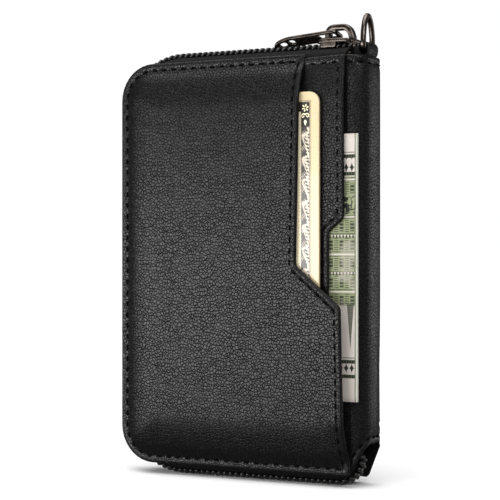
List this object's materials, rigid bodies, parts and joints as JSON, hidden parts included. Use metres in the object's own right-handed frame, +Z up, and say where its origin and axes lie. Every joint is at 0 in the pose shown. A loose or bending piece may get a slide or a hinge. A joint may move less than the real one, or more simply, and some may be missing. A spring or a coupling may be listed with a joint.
{
  "type": "zip-around bifold card wallet",
  "caption": "Black leather zip-around bifold wallet with outside card and note pockets and a metal ring on the spine for a neck cord.",
  "frame": {"origin": "below the middle of the whole wallet, on the surface it stands on with the spine upright", "axes": "+Z up along the spine, +X from the round zip corners towards the spine, -Y out of the front with the outside pockets"},
  "size_m": [0.0734, 0.0162, 0.1173],
  "materials": {
    "leather": "fine-grained black, soft satin",
    "fabric": "woven lining, matte",
    "board": "pressed board, matte",
    "foil": "thin shielding foil",
    "tape": "woven zip tape, matte",
    "teeth": "black coil teeth, slightly shiny",
    "gunmetal": "dark gunmetal plating",
    "card": "pale gold printed plastic",
    "paper": "printed cotton paper, matte"
  },
  "bodies": {
    "spine": {"spine_leather": "leather", "spine_board": "board", "spine_lining": "fabric", "zip_end_teeth": "teeth", "zip_end_tape": "tape", "ring_loop": "leather"},
    "neck_ring": {"neck_ring": "gunmetal"},
    "front_cover": {"front_leather": "leather", "front_board": "board", "front_rfid_foil": "foil", "front_lining": "fabric", "front_zip_tape": "tape", "front_zip_teeth": "teeth", "front_top_stop": "gunmetal", "front_card_slot": "leather", "note_pocket_panel": "leather", "card_pocket_panel": "leather"},
    "rear_cover": {"rear_leather": "leather", "rear_board": "board", "rear_rfid_foil": "foil", "rear_lining": "fabric", "rear_zip_tape": "tape", "rear_zip_teeth": "teeth", "rear_top_stop": "gunmetal", "rear_card_slot_lower": "leather", "rear_card_slot_upper": "leather"},
    "zip_slider": {"slider_body": "gunmetal", "slider_crown": "gunmetal"},
    "pull_tab": {"pull_tab": "gunmetal"},
    "payment_card": {"payment_card": "card"},
    "folded_notes": {"folded_notes": "paper"}
  },
  "joints": [
    {"name": "front_hinge", "type": "hinge", "parent": "spine", "child": "front_cover", "pos_m": [0.03585, -0.003, 0.055], "axis": [0, 0, 1], "range_deg": [0, 90]},
    {"name": "rear_hinge", "type": "hinge", "parent": "spine", "child": "rear_cover", "pos_m": [0.03585, 0.0072, 0.055], "axis": [0, 0, -1], "range_deg": [0, 90]},
    {"name": "ring_swing", "type": "hinge", "parent": "spine", "child": "neck_ring", "pos_m": [0.03465, 0.0021, 0.10865], "axis": [0, 1, 0], "range_deg": [-30, 120]},
    {"name": "zip_slide", "type": "slide", "parent": "rear_cover", "child": "zip_slider", "axis": [-1, 0, 0], "range_m": [0, 0.04]},
    {"name": "pull_swing", "type": "hinge", "parent": "zip_slider", "child": "pull_tab", "pos_m": [0.02625, 0.0021, 0.11295], "axis": [0, 1, 0], "range_deg": [0, 95]},
    {"name": "card_slide", "type": "slide", "parent": "front_cover", "child": "payment_card", "axis": [1, 0, 0], "range_m": [0, 0.05]},
    {"name": "notes_slide", "type": "slide", "parent": "front_cover", "child": "folded_notes", "axis": [1, 0, 0], "range_m": [0, 0.045]}
  ]
}
